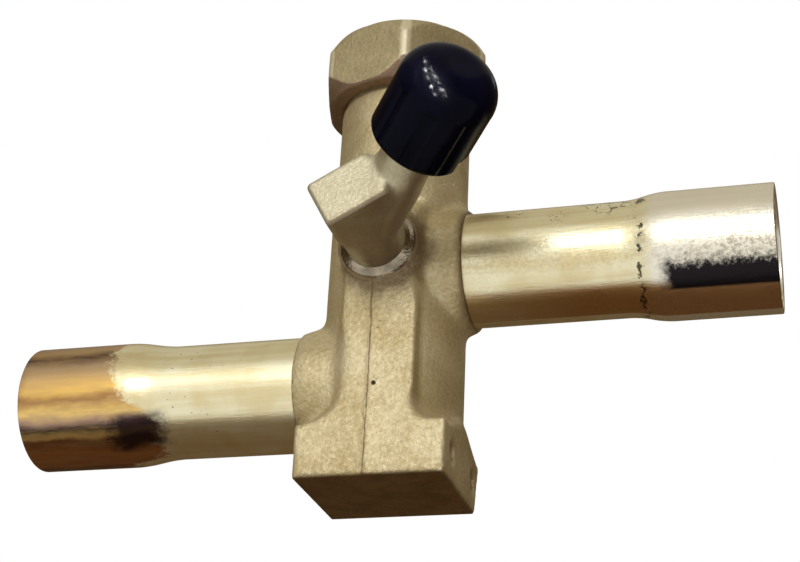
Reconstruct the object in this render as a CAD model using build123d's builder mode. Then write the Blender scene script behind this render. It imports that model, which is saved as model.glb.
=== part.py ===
"""Refrigerant service valve: a foot-mounted forged brass body with a lower and an upper
solder tube, an inner screw stem under a hexagon cap, and a 45 degree charging port.

Frame: +Z up along the stem, +X towards the upper tube, -Y towards the charging port.
The foot stands on z = 0 and the stem axis is x = 0, y = 0.  All sizes are in mm."""
import os
from math import cos, radians, sin, tan

from build123d import *

os.makedirs("parts", exist_ok=True)

# ---- fits shared by the pieces --------------------------------------------------------
solder_gap = 0.05          # radial gap between a brazed tube and its socket
running_gap = 0.05         # radial gap of a turning or sliding fit
seat_gap = 0.04            # left between faces that only touch when the parts are tight
thread_gap = 0.04          # radial gap of a screw thread drawn at its pitch size
seal_squeeze_gap = 0.02    # radial gap left at a seal that is drawn unsqueezed

# ---- tubes ----------------------------------------------------------------------------
tube_od = 22.22            # seven eighths of an inch
tube_wall = 1.14
lower_axis_z = 21.8
upper_axis_z = 45.7
lower_end_x = -72.4
upper_end_x = 73.1
swage_wall = 1.1
swage_fit = 0.05           # radial room for the customer's tube in the swaged socket
lower_swage_depth = 22.2
upper_swage_depth = 22.6
lower_swage_cone = 5.0
upper_swage_cone = 3.0
lower_tube_seat_depth = 7.7    # how far each tube sits in the body
upper_tube_seat_depth = 4.5
tube_end_chamfer = 0.3
braze_leg = 0.5            # width of the filler ring at each tube socket

# ---- body forging ---------------------------------------------------------------------
foot_width = 28.4
foot_front_y = -14.2
foot_back_y = 10.2
foot_back_lean = 2.6       # the back of the foot leans out this far at its top
foot_height = 10.4
foot_corner = 1.0
foot_edge = 0.8
column_radius = 13.6
column_sink = 1.2          # the column starts this far below the top of the foot
column_height = 58.0
neck_radius = 13.1
neck_taper_height = 4.0
neck_top_z = 81.7
rib_right_x = 7.9
rib_left_x = -6.8
rib_depth = 6.0
rib_corner = 0.7
rib_top_z = 56.0
rib_top_slope = 3.0
rib_right_root = 3.8       # radius between the rib and the foot
rib_left_root = 7.0
root_ledge = 0.2           # least width of the foot left beside a root
flare_height = 6.0         # the column flares out to the foot
flare_width = 4.0
lower_boss_wall = 1.39     # wall round each tube's socket
lower_boss_end_x = -16.5
lower_boss_end_wall = 0.69
upper_boss_wall = 1.39
upper_boss_end_x = 15.4
lower_boss_round = 3.6     # length of the rounded end of the lower boss
upper_boss_edge = 0.8
parting_ridge_width = 1.3
parting_ridge_height = 0.25
port_boss_radius = 7.9
port_boss_height = 0.9
mount_hole_spacing = 16.1
mount_hole_z = 6.0
mount_hole_mid_y = 0.25
mount_hole_radius = 2.1    # tapping size of M5
mount_hole_depth = 9.0
mount_hole_sink = 0.5

# ---- inside the body ------------------------------------------------------------------
floor_z = 11.6             # foot of the straight wall of the drilled lower chamber
drill_point = 1.5
passage_radius = 8.5
seat_z = 35.7              # top edge of the seat cone
chamber_radius = 10.7
chamber_headroom = 1.33     # above the upper tube's bore
stem_thread_radius = 10.6
stem_thread_top_z = 67.0   # end of the thread in the body
seal_bore_radius = 11.0
seat_depth = 1.5           # height of the 45 degree seat cone
body_top_z = 90.6
cap_thread_radius = 12.6
thread_lead_in = 0.6
ring_groove_top_z = 89.9
ring_groove_height = 1.1
ring_groove_depth = 0.55
ring_width = 1.4
ring_mouth = 6.0           # gap between the ends of the retaining ring

# ---- stem -----------------------------------------------------------------------------
stem_pitch = 1.5
plug_radius = 9.6
plug_tip_radius = 8.0
plug_length = 16.0         # from the tip to the stem's thread
stem_thread_length = 14.0
stem_head_bottom_z = 67.4
stem_head_length = 7.6
o_ring_section = 1.78
backup_ring_thickness = 1.2
o_ring_groove_z = 69.9       # lower wall of the groove
stem_waist_radius = 8.8
key_across_flats = 9.5
key_depth = 9.0

# ---- hexagon cap ----------------------------------------------------------------------
hex_across_flats = 31.75   # one and a quarter inch
hex_height = 13.8
hex_turn = 13.0            # how far a corner is turned from the front, degrees
hex_corner_radius = 1.2
hex_land_radius = 15.9
hex_cone_radius = 18.6
hex_top_cone = 4.6         # height of the cone turned on each end
hex_bottom_cone = 4.8
cap_seal_thickness = 1.2
cap_seal_inner_radius = 11.2
hex_cap_travel = 16.0

# ---- charging port elbow --------------------------------------------------------------
port_turn = 28.6           # the elbow is turned this far about its leg, degrees
port_bend = 43.2           # between the leg and the neck, degrees
port_bend_y = -22.0        # where the two axes meet
leg_radius = 5.75
spigot_radius = 4.4
spigot_length = 3.4
block_front_y = -36.5
block_height = 10.0
block_heel = 6.0           # from the leg axis to the outer end of the block
block_toe = 7.2            # from the leg axis to the neck end of the block
block_back_y = -20.0       # the round leg ends and the block starts to form
block_full_y = -29.0       # the block has its full section
block_corner = 1.0
block_edge = 0.5
port_root_radius = 5.4
port_root_length = 12.0
port_root_taper = 4.0
port_neck_radius = 5.0
port_neck_length = 34.5    # from the bend to the flare face
port_thread_radius = 5.56  # seven sixteenths of an inch
port_thread_length = 12.6
port_flare_height = 1.8    # of the 45 degree flare cone
port_mouth_radius = 3.2
port_braze_width = 1.6
port_braze_height = 1.3
port_passage_radius = 1.6
core_thread_radius = 2.6
core_seat_radius = 1.95
core_thread_depth = 7.0
core_bore_depth = 15.5

# ---- valve core -----------------------------------------------------------------------
core_seat_cone = 1.6
core_key_width = 2.2
core_key_depth = 1.4
core_recess = 1.6          # the core's head sits this far below the mouth
core_plug_length = 4.0
core_plug_hole = 0.9
core_barrel_radius = 1.75
core_barrel_wall = 0.5
core_barrel_length = 7.0
core_seal_length = 1.2
core_lip_room = 0.2        # round the pin, at the foot of the barrel
core_collar_length = 0.6
core_pin_radius = 0.45
core_pin_collar_radius = 1.05
core_pin_proud = 0.4       # the pin stands this far out of the plug
core_poppet_radius = 1.5
core_poppet_length = 1.0
core_pin_travel = 1.2
core_spring_wire = 0.25
core_spring_radius = 0.8
core_spring_turns = 6
core_washer_thickness = 0.5

# ---- port cap -------------------------------------------------------------------------
port_cap_radius = 9.15
port_cap_length = 19.2
port_cap_start = 21.6      # from the bend to the open rim
port_cap_dome = 6.2
port_cap_flutes = 8
port_cap_flute_depth = 0.5
port_cap_travel = 20.0
port_seal_thickness = 1.0
port_seal_hole = 2.0
port_cap_edge = 1.9
port_cap_flute_radius = 2.6
port_cap_flute_phase = 0.0
port_cap_notch_width = 5.0     # thumb notch in the rim of the skirt
port_cap_notch_height = 4.0
port_cap_notch_depth = 1.7
port_cap_notch_angle = 213.0

# ---- derived --------------------------------------------------------------------------
tube_radius = tube_od / 2
tube_bore = tube_radius - tube_wall
swage_bore = tube_radius + swage_fit
swage_radius = swage_bore + swage_wall
socket_radius = tube_radius + solder_gap
chamber_top_z = upper_axis_z + tube_bore + chamber_headroom
lower_boss_radius = tube_radius + lower_boss_wall
lower_boss_end_radius = tube_radius + lower_boss_end_wall
upper_boss_radius = tube_radius + upper_boss_wall
# each root radius of the rib is limited by the ledge of the foot beside it
right_root = min(rib_right_root, foot_width / 2 - rib_right_x - root_ledge)
left_root = min(rib_left_root, foot_width / 2 + rib_left_x - root_ledge)
seat_top_radius = passage_radius + seat_depth
lower_seat_x = lower_boss_end_x + lower_tube_seat_depth
upper_seat_x = upper_boss_end_x - upper_tube_seat_depth
hex_bottom_z = neck_top_z + 0.3
hex_top_z = hex_bottom_z + hex_height
turn = radians(port_turn)
bend = radians(port_bend)
neck_dir = Vector(sin(bend) * cos(turn), -cos(bend), sin(bend) * sin(turn))
across_dir = Vector(cos(turn), 0, sin(turn))
bend_point = Vector(0, port_bend_y, upper_axis_z)
square_dir = Vector(-sin(turn), 0, cos(turn))
# the neck's own plane, and a plane through its axis whose y runs along the neck
neck_plane = Plane(origin=bend_point, x_dir=square_dir, z_dir=neck_dir)
neck_section = Plane(origin=bend_point, x_dir=square_dir, z_dir=square_dir.cross(neck_dir))
neck_axis = Axis(bend_point, neck_dir)
lower_axis = Axis((0, 0, lower_axis_z), (1, 0, 0))
upper_axis = Axis((0, 0, upper_axis_z), (1, 0, 0))
leg_axis = Axis((0, 0, upper_axis_z), (0, -1, 0))
port_face_y = foot_front_y - port_boss_height

stem_head_top_z = stem_head_bottom_z + stem_head_length
stem_travel = ring_groove_top_z - ring_groove_height - seat_gap - stem_head_top_z
o_ring_outer = seal_bore_radius - seal_squeeze_gap
groove_radius = o_ring_outer - o_ring_section - seal_squeeze_gap
groove_width = o_ring_section + backup_ring_thickness + 3 * seat_gap
cap_seal_z = body_top_z + seat_gap
cap_roof_z = cap_seal_z + cap_seal_thickness + seat_gap
port_thread_start = port_neck_length - port_thread_length
core_top = port_neck_length - core_recess
core_plug_bottom = core_top - core_plug_length
core_barrel_top = core_plug_bottom - seat_gap
core_barrel_bottom = core_barrel_top - core_barrel_length
port_seal_start = port_neck_length + seat_gap
port_roof_start = port_seal_start + port_seal_thickness + seat_gap


def tube_section(axis_z, way, seat_x, end_x, swage_depth, cone):
    """Section of a tube above its axis, from its seat in the body to its swaged end."""
    step = end_x - way * swage_depth
    start = step - way * cone
    return [(seat_x, axis_z + tube_bore), (seat_x, axis_z + tube_radius - tube_end_chamfer),
            (seat_x + way * tube_end_chamfer, axis_z + tube_radius),
            (start, axis_z + tube_radius), (step, axis_z + swage_radius),
            (end_x - way * tube_end_chamfer, axis_z + swage_radius),
            (end_x, axis_z + swage_radius - tube_end_chamfer), (end_x, axis_z + swage_bore),
            (step, axis_z + swage_bore), (start, axis_z + tube_bore)]



# ======================================================================================
# body
# ======================================================================================
with BuildPart() as valve_body:
    with BuildSketch(Plane.YZ):
        Polygon((foot_front_y, 0), (foot_back_y, 0),
                (foot_back_y + foot_back_lean, foot_height), (foot_front_y, foot_height),
                align=None)
    extrude(amount=foot_width / 2, both=True)
    fillet(valve_body.edges().filter_by(Axis.Z), foot_corner)
    fillet(valve_body.edges().group_by(Axis.Z)[-1], foot_edge)
    # column, neck and cap thread
    with BuildSketch(Plane.XZ):
        Polygon((0, foot_height - column_sink), (column_radius, foot_height - column_sink),
                (column_radius, column_height),
                (neck_radius, column_height + neck_taper_height), (neck_radius, neck_top_z),
                (cap_thread_radius, neck_top_z), (cap_thread_radius, body_top_z - thread_lead_in),
                (cap_thread_radius - thread_lead_in, body_top_z), (0, body_top_z), align=None)
    revolve(axis=Axis.Z)
    # the column flares out towards the edges of the foot
    with BuildSketch(Plane.XZ):
        with BuildLine():
            Polyline((0, foot_height + flare_height), (column_radius - 0.1, foot_height + flare_height))
            flare = TangentArc((column_radius - 0.1, foot_height + flare_height),
                               (column_radius + flare_width, foot_height), tangent=(0, -1))
            Polyline((column_radius + flare_width, foot_height), (column_radius + flare_width, foot_height - 1),
                     (0, foot_height - 1), (0, foot_height + flare_height))
        make_face()
    flare_body = revolve(axis=Axis.Z, mode=Mode.PRIVATE)
    with BuildSketch(Plane.XY.offset(foot_height - 1)):
        with Locations((0, foot_front_y)):
            Rectangle(foot_width, foot_back_y + foot_back_lean - foot_front_y, align=(Align.CENTER, Align.MIN))
        fillet(vertices(), foot_corner)
    foot_plan = extrude(amount=flare_height + 1, mode=Mode.PRIVATE)
    add(flare_body & foot_plan)
    # flat-fronted rib whose roots curve out to the foot
    with BuildSketch(Plane.XZ.offset(-foot_front_y)):
        Polygon((-foot_width / 2, foot_height / 2), (foot_width / 2, foot_height / 2),
                (foot_width / 2, foot_height), (rib_right_x, foot_height), (rib_right_x, rib_top_z),
                (rib_left_x, rib_top_z), (rib_left_x, foot_height), (-foot_width / 2, foot_height),
                align=None)
        fillet(vertices().filter_by_position(Axis.X, rib_right_x - 0.01, rib_right_x + 0.01).sort_by(Axis.Y)[0],
               right_root)
        fillet(vertices().filter_by_position(Axis.X, rib_left_x - 0.01, rib_left_x + 0.01).sort_by(Axis.Y)[0],
               left_root)
    extrude(amount=-rib_depth)
    with BuildSketch(Plane.YZ):
        Polygon((foot_front_y - 1, rib_top_z - rib_top_slope - 1),
                (foot_front_y + rib_top_slope + 1, rib_top_z + 1),
                (foot_front_y - 1, rib_top_z + 1), align=None)
    extrude(amount=rib_right_x + 1, both=True, mode=Mode.SUBTRACT)
    # ridge left by the forging dies
    with Locations((0, foot_front_y - parting_ridge_height, 0)):
        Box(parting_ridge_width, 2 * parting_ridge_height, rib_top_z - rib_top_slope,
            align=(Align.CENTER, Align.MIN, Align.MIN))
    # bosses for the two tubes, with rounded ends
    with BuildSketch(Plane.XZ):
        with BuildLine():
            round_start = (lower_boss_end_x + lower_boss_round, lower_axis_z + lower_boss_radius)
            round_end = (lower_boss_end_x, lower_axis_z + lower_boss_end_radius)
            Polyline((0, lower_axis_z), (0, lower_axis_z + lower_boss_radius), round_start)
            TangentArc(round_start, round_end, tangent=(-1, 0))
            Polyline(round_end, (lower_boss_end_x, lower_axis_z), (0, lower_axis_z))
        make_face()
    revolve(axis=lower_axis)
    with BuildSketch(Plane.XZ):
        Polygon((0, upper_axis_z), (0, upper_axis_z + upper_boss_radius),
                (upper_boss_end_x - upper_boss_edge, upper_axis_z + upper_boss_radius),
                (upper_boss_end_x, upper_axis_z + upper_boss_radius - upper_boss_edge),
                (upper_boss_end_x, upper_axis_z), align=None)
    revolve(axis=upper_axis)
    with Locations(Plane(origin=(0, port_face_y, upper_axis_z), z_dir=(0, 1, 0))):
        Cylinder(port_boss_radius, column_radius / 2, align=(Align.CENTER, Align.CENTER, Align.MIN))
    # lower chamber, seat, upper chamber, stem thread, seal bore and ring groove
    with BuildSketch(Plane.XZ):
        Polygon((0, floor_z - drill_point), (passage_radius, floor_z),
                (passage_radius, seat_z - seat_depth), (seat_top_radius, seat_z),
                (chamber_radius, seat_z), (chamber_radius, chamber_top_z),
                (stem_thread_radius, chamber_top_z), (stem_thread_radius, stem_thread_top_z),
                (seal_bore_radius, stem_thread_top_z),
                (seal_bore_radius, ring_groove_top_z - ring_groove_height),
                (seal_bore_radius + ring_groove_depth, ring_groove_top_z - ring_groove_height),
                (seal_bore_radius + ring_groove_depth, ring_groove_top_z),
                (seal_bore_radius, ring_groove_top_z), (seal_bore_radius, body_top_z + 1),
                (0, body_top_z + 1), align=None)
    revolve(axis=Axis.Z, mode=Mode.SUBTRACT)
    # sockets and bores of the two tubes
    with BuildSketch(Plane.XZ):
        Polygon((0, lower_axis_z), (0, lower_axis_z + tube_bore), (lower_seat_x, lower_axis_z + tube_bore),
                (lower_seat_x, lower_axis_z + socket_radius),
                (lower_boss_end_x + braze_leg, lower_axis_z + socket_radius),
                (lower_boss_end_x - 1, lower_axis_z + socket_radius + braze_leg + 1),
                (lower_boss_end_x - 1, lower_axis_z), align=None)
    revolve(axis=lower_axis, mode=Mode.SUBTRACT)
    with BuildSketch(Plane.XZ):
        Polygon((0, upper_axis_z), (0, upper_axis_z + tube_bore), (upper_seat_x, upper_axis_z + tube_bore),
                (upper_seat_x, upper_axis_z + socket_radius),
                (upper_boss_end_x - braze_leg, upper_axis_z + socket_radius),
                (upper_boss_end_x + 1, upper_axis_z + socket_radius + braze_leg + 1),
                (upper_boss_end_x + 1, upper_axis_z), align=None)
    revolve(axis=upper_axis, mode=Mode.SUBTRACT)
    # hole for the charging port
    with Locations(Plane(origin=(0, port_face_y, upper_axis_z), z_dir=(0, 1, 0))):
        Cylinder(spigot_radius + solder_gap, spigot_length + seat_gap,
                 align=(Align.CENTER, Align.CENTER, Align.MIN), mode=Mode.SUBTRACT)
        Cylinder(port_passage_radius, -port_face_y - chamber_radius / 2,
                 align=(Align.CENTER, Align.CENTER, Align.MIN), mode=Mode.SUBTRACT)
    # two tapped mounting holes in the side of the foot
    with Locations(*[Plane(origin=(foot_width / 2, mount_hole_mid_y + side * mount_hole_spacing / 2,
                                   mount_hole_z), z_dir=(-1, 0, 0)) for side in (-1, 1)]):
        Cylinder(mount_hole_radius, mount_hole_depth, align=(Align.CENTER, Align.CENTER, Align.MIN),
                 mode=Mode.SUBTRACT)
        Cone(mount_hole_radius + mount_hole_sink, mount_hole_radius, mount_hole_sink,
             align=(Align.CENTER, Align.CENTER, Align.MIN), mode=Mode.SUBTRACT)
valve_body.part.label = "valve_body"
export_step(valve_body.part, "parts/valve_body.step")

# ======================================================================================
# tubes and their filler rings
# ======================================================================================
with BuildPart() as lower_tube:
    with BuildSketch(Plane.XZ):
        Polygon(*tube_section(lower_axis_z, -1, lower_seat_x - seat_gap, lower_end_x,
                              lower_swage_depth, lower_swage_cone), align=None)
    revolve(axis=lower_axis)
lower_tube.part.label = "lower_tube"
export_step(lower_tube.part, "parts/lower_tube.step")

with BuildPart() as upper_tube:
    with BuildSketch(Plane.XZ):
        Polygon(*tube_section(upper_axis_z, 1, upper_seat_x + seat_gap, upper_end_x,
                              upper_swage_depth, upper_swage_cone), align=None)
    revolve(axis=upper_axis)
upper_tube.part.label = "upper_tube"
export_step(upper_tube.part, "parts/upper_tube.step")

with BuildPart() as lower_braze_ring:
    with BuildSketch(Plane.XZ):
        base = lower_axis_z + tube_radius + seat_gap
        Polygon((lower_boss_end_x + braze_leg - solder_gap, base),
                (lower_boss_end_x + 2 * solder_gap, base + braze_leg - 3 * solder_gap),
                (lower_boss_end_x + 2 * solder_gap, base), align=None)
    revolve(axis=lower_axis)
lower_braze_ring.part.label = "lower_braze_ring"
export_step(lower_braze_ring.part, "parts/lower_braze_ring.step")

with BuildPart() as upper_braze_ring:
    with BuildSketch(Plane.XZ):
        base = upper_axis_z + tube_radius + seat_gap
        Polygon((upper_boss_end_x - braze_leg + solder_gap, base),
                (upper_boss_end_x - 2 * solder_gap, base),
                (upper_boss_end_x - 2 * solder_gap, base + braze_leg - 3 * solder_gap), align=None)
    revolve(axis=upper_axis)
upper_braze_ring.part.label = "upper_braze_ring"
export_step(upper_braze_ring.part, "parts/upper_braze_ring.step")

# ======================================================================================
# stem, drawn screwed down on its seat
# ======================================================================================
stem_tip_z = seat_z - seat_depth - (passage_radius - plug_tip_radius) + seat_gap
stem_thread_bottom_z = stem_tip_z + plug_length
with BuildPart() as valve_stem:
    with BuildSketch(Plane.XZ):
        Polygon((0, stem_tip_z), (plug_tip_radius, stem_tip_z),
                (plug_radius, stem_tip_z + plug_radius - plug_tip_radius),
                (plug_radius, stem_thread_bottom_z),
                (stem_thread_radius - thread_gap, stem_thread_bottom_z + thread_lead_in),
                (stem_thread_radius - thread_gap,
                 stem_thread_bottom_z + stem_thread_length - thread_lead_in),
                (stem_waist_radius, stem_thread_bottom_z + stem_thread_length),
                (stem_waist_radius, stem_head_bottom_z),
                (seal_bore_radius - running_gap, stem_head_bottom_z),
                (seal_bore_radius - running_gap, o_ring_groove_z), (groove_radius, o_ring_groove_z),
                (groove_radius, o_ring_groove_z + groove_width),
                (seal_bore_radius - running_gap, o_ring_groove_z + groove_width),
                (seal_bore_radius - running_gap, stem_head_top_z - thread_lead_in),
                (seal_bore_radius - running_gap - thread_lead_in, stem_head_top_z),
                (0, stem_head_top_z), align=None)
    revolve(axis=Axis.Z)
    with BuildSketch(Plane.XY.offset(stem_head_top_z)):
        RegularPolygon(key_across_flats / 2, 6, major_radius=False)
    extrude(amount=-key_depth, mode=Mode.SUBTRACT)
valve_stem.part.label = "valve_stem"
export_step(valve_stem.part, "parts/valve_stem.step")

with BuildPart() as stem_o_ring:
    with BuildSketch(Plane.XZ):
        with Locations((o_ring_outer - o_ring_section / 2,
                        o_ring_groove_z + seat_gap + o_ring_section / 2)):
            Circle(o_ring_section / 2)
    revolve(axis=Axis.Z)
stem_o_ring.part.label = "stem_o_ring"
export_step(stem_o_ring.part, "parts/stem_o_ring.step")

with BuildPart() as stem_backup_ring:
    with BuildSketch(Plane.XZ):
        with Locations((groove_radius + seal_squeeze_gap, o_ring_groove_z + o_ring_section + 2 * seat_gap)):
            Rectangle(o_ring_outer - groove_radius - seal_squeeze_gap, backup_ring_thickness,
                      align=(Align.MIN, Align.MIN))
    revolve(axis=Axis.Z)
stem_backup_ring.part.label = "stem_backup_ring"
export_step(stem_backup_ring.part, "parts/stem_backup_ring.step")

with BuildPart() as stem_retaining_ring:
    with BuildSketch(Plane.XY.offset(ring_groove_top_z - ring_groove_height + seat_gap)):
        Circle(seal_bore_radius + ring_groove_depth - seat_gap)
        Circle(seal_bore_radius + ring_groove_depth - seat_gap - ring_width, mode=Mode.SUBTRACT)
        with Locations((0, -seal_bore_radius)):
            Rectangle(ring_mouth, 2 * ring_width + 2, mode=Mode.SUBTRACT)
    extrude(amount=ring_groove_height - 2 * seat_gap)
stem_retaining_ring.part.label = "stem_retaining_ring"
export_step(stem_retaining_ring.part, "parts/stem_retaining_ring.step")

# ======================================================================================
# hexagon cap over the stem
# ======================================================================================
with BuildPart() as stem_cap:
    with BuildSketch(Plane.XY.offset(hex_bottom_z)):
        RegularPolygon(hex_across_flats / 2, 6, major_radius=False, rotation=hex_turn - 90)
        fillet(vertices(), hex_corner_radius)
    extrude(amount=hex_height)
    # both ends are turned to a shallow cone that leaves arched flats
    with BuildSketch(Plane.XZ):
        Polygon((0, hex_bottom_z), (hex_land_radius, hex_bottom_z),
                (hex_cone_radius, hex_bottom_z + hex_bottom_cone),
                (hex_cone_radius, hex_top_z - hex_top_cone),
                (hex_land_radius, hex_top_z), (0, hex_top_z), align=None)
    revolve(axis=Axis.Z, mode=Mode.INTERSECT)
    with BuildSketch(Plane.XZ):
        Polygon((0, hex_bottom_z - 1), (cap_thread_radius + thread_gap + thread_lead_in + 1, hex_bottom_z - 1),
                (cap_thread_radius + thread_gap, hex_bottom_z + thread_lead_in),
                (cap_thread_radius + thread_gap, cap_roof_z), (0, cap_roof_z), align=None)
    revolve(axis=Axis.Z, mode=Mode.SUBTRACT)
stem_cap.part.label = "stem_cap"
export_step(stem_cap.part, "parts/stem_cap.step")

with BuildPart() as stem_cap_seal:
    with BuildSketch(Plane.XY.offset(cap_seal_z)):
        Circle(cap_thread_radius)
        Circle(cap_seal_inner_radius, mode=Mode.SUBTRACT)
    extrude(amount=cap_seal_thickness)
stem_cap_seal.part.label = "stem_cap_seal"
export_step(stem_cap_seal.part, "parts/stem_cap_seal.step")

# ======================================================================================
# charging port elbow
# ======================================================================================
with BuildPart() as access_elbow:
    with Locations(Plane(origin=(0, port_face_y - seat_gap, upper_axis_z), z_dir=(0, -1, 0))):
        Cylinder(leg_radius, port_face_y - seat_gap - block_back_y,
                 align=(Align.CENTER, Align.CENTER, Align.MIN))
    with Locations(Plane(origin=(0, port_face_y - seat_gap, upper_axis_z), z_dir=(0, 1, 0))):
        Cylinder(spigot_radius, spigot_length - seat_gap, align=(Align.CENTER, Align.CENTER, Align.MIN))
    # square block that swells out of the round leg and ends in a flat
    with BuildSketch(Plane(origin=(0, block_back_y, upper_axis_z), x_dir=across_dir, z_dir=(0, -1, 0))):
        Circle(leg_radius)
    with BuildSketch(Plane(origin=(0, block_full_y, upper_axis_z), x_dir=across_dir, z_dir=(0, -1, 0))):
        with Locations(((block_toe - block_heel) / 2, 0)):
            RectangleRounded(block_toe + block_heel, block_height, block_corner)
    loft()
    with BuildSketch(Plane(origin=(0, block_full_y, upper_axis_z), x_dir=across_dir, z_dir=(0, -1, 0))):
        with Locations(((block_toe - block_heel) / 2, 0)):
            RectangleRounded(block_toe + block_heel, block_height, block_corner)
    extrude(amount=block_full_y - block_front_y)
    chamfer(faces().sort_by(Axis.Y)[0].edges(), block_edge)
    # neck, thread and flare cone
    with BuildSketch(neck_section):
        Polygon((0, 0), (port_root_radius, 0), (port_root_radius, port_root_length),
                (port_neck_radius, port_root_length + port_root_taper),
                (port_neck_radius, port_thread_start), (port_thread_radius, port_thread_start + thread_lead_in),
                (port_thread_radius, port_neck_length - port_flare_height),
                (port_thread_radius - port_flare_height, port_neck_length), (0, port_neck_length),
                align=None)
    revolve(axis=neck_axis)
    # bore for the valve core, and the passage down to the upper chamber
    with BuildSketch(neck_section):
        Polygon((0, 0), (port_passage_radius, 0), (port_passage_radius, port_neck_length - core_bore_depth),
                (core_seat_radius, port_neck_length - core_bore_depth),
                (core_seat_radius, core_plug_bottom - core_seat_cone),
                (core_thread_radius, core_plug_bottom), (core_thread_radius, core_top),
                (port_mouth_radius, port_neck_length + seat_gap), (0, port_neck_length + seat_gap),
                align=None)
    revolve(axis=neck_axis, mode=Mode.SUBTRACT)
    with Locations(Plane(origin=(0, port_face_y + spigot_length + 1, upper_axis_z), z_dir=(0, -1, 0))):
        Cylinder(port_passage_radius, port_face_y + spigot_length + 1 - port_bend_y,
                 align=(Align.CENTER, Align.CENTER, Align.MIN), mode=Mode.SUBTRACT)
    with Locations(bend_point):
        Sphere(port_passage_radius, mode=Mode.SUBTRACT)
access_elbow.part.label = "access_elbow"
export_step(access_elbow.part, "parts/access_elbow.step")

with BuildPart() as access_braze_ring:
    with BuildSketch(Plane.XY.offset(upper_axis_z)):
        inner = leg_radius + seat_gap
        Polygon((inner, port_face_y - seat_gap), (inner + port_braze_width, port_face_y - seat_gap),
                (inner + port_braze_width - 0.15 * port_braze_width, port_face_y - 0.35 * port_braze_height),
                (inner + 0.45 * port_braze_width, port_face_y - 0.55 * port_braze_height),
                (inner, port_face_y - port_braze_height), align=None)
    revolve(axis=leg_axis)
access_braze_ring.part.label = "access_braze_ring"
export_step(access_braze_ring.part, "parts/access_braze_ring.step")

# ======================================================================================
# valve core inside the charging port
# ======================================================================================
with BuildPart() as core_plug:
    with BuildSketch(neck_section):
        Polygon((core_plug_hole, core_plug_bottom), (core_seat_radius, core_plug_bottom),
                (core_thread_radius - thread_gap, core_plug_bottom + core_seat_cone),
                (core_thread_radius - thread_gap, core_top), (core_plug_hole, core_top), align=None)
    revolve(axis=neck_axis)
    # flats for the core tool
    with BuildSketch(neck_plane.offset(core_top)):
        Circle(core_thread_radius)
        Rectangle(core_key_width, 2 * core_thread_radius, mode=Mode.SUBTRACT)
    extrude(amount=-core_key_depth, mode=Mode.SUBTRACT)
core_plug.part.label = "core_plug"
export_step(core_plug.part, "parts/core_plug.step")

core_lip_top = core_barrel_bottom + core_barrel_wall
core_collar_top = core_plug_bottom - core_barrel_wall
core_collar_bottom = core_collar_top - core_collar_length
core_washer_top = core_barrel_bottom - seat_gap
core_poppet_top = core_washer_top - core_washer_thickness
with BuildPart() as core_barrel:
    with BuildSketch(neck_section):
        Polygon((core_pin_radius + core_lip_room, core_barrel_bottom),
                (core_barrel_radius, core_barrel_bottom), (core_barrel_radius, core_barrel_top),
                (core_barrel_radius - core_barrel_wall, core_barrel_top),
                (core_barrel_radius - core_barrel_wall, core_lip_top),
                (core_pin_radius + core_lip_room, core_lip_top), align=None)
    revolve(axis=neck_axis)
core_barrel.part.label = "core_barrel"
export_step(core_barrel.part, "parts/core_barrel.step")

cone_slope = (core_thread_radius - core_seat_radius) / core_seat_cone
with BuildPart() as core_barrel_seal:
    with BuildSketch(neck_section):
        outer = core_thread_radius - seal_squeeze_gap - 2 * cone_slope * seat_gap
        Polygon((core_barrel_radius + seal_squeeze_gap, core_plug_bottom - seat_gap),
                (core_barrel_radius + seal_squeeze_gap, core_plug_bottom - core_seal_length),
                (outer - cone_slope * (core_seal_length - seat_gap), core_plug_bottom - core_seal_length),
                (outer, core_plug_bottom - seat_gap), align=None)
    revolve(axis=neck_axis)
core_barrel_seal.part.label = "core_barrel_seal"
export_step(core_barrel_seal.part, "parts/core_barrel_seal.step")

with BuildPart() as core_pin:
    with BuildSketch(neck_section):
        Polygon((0, core_poppet_top - core_poppet_length),
                (core_poppet_radius, core_poppet_top - core_poppet_length),
                (core_poppet_radius, core_poppet_top), (core_pin_radius, core_poppet_top),
                (core_pin_radius, core_collar_bottom), (core_pin_collar_radius, core_collar_bottom),
                (core_pin_collar_radius, core_collar_top), (core_pin_radius, core_collar_top),
                (core_pin_radius, core_top + core_pin_proud), (0, core_top + core_pin_proud),
                align=None)
    revolve(axis=neck_axis)
core_pin.part.label = "core_pin"
export_step(core_pin.part, "parts/core_pin.step")

with BuildPart() as core_seat_seal:
    with BuildSketch(neck_section):
        Polygon((core_pin_radius + seal_squeeze_gap, core_poppet_top + seal_squeeze_gap),
                (core_poppet_radius, core_poppet_top + seal_squeeze_gap),
                (core_poppet_radius, core_washer_top), (core_pin_radius + seal_squeeze_gap, core_washer_top),
                align=None)
    revolve(axis=neck_axis)
core_seat_seal.part.label = "core_seat_seal"
export_step(core_seat_seal.part, "parts/core_seat_seal.step")

spring_bottom = core_lip_top + seat_gap + core_spring_wire / 2
spring_height = core_collar_bottom - seat_gap - core_spring_wire / 2 - spring_bottom
with BuildPart() as core_spring:
    with BuildLine():
        coil = Helix(spring_height / core_spring_turns, spring_height, core_spring_radius,
                     center=bend_point + neck_dir * spring_bottom, direction=neck_dir)
    with BuildSketch(Plane(origin=coil @ 0, z_dir=coil % 0)):
        Circle(core_spring_wire / 2)
    sweep()
core_spring.part.label = "core_spring"
export_step(core_spring.part, "parts/core_spring.step")

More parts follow.
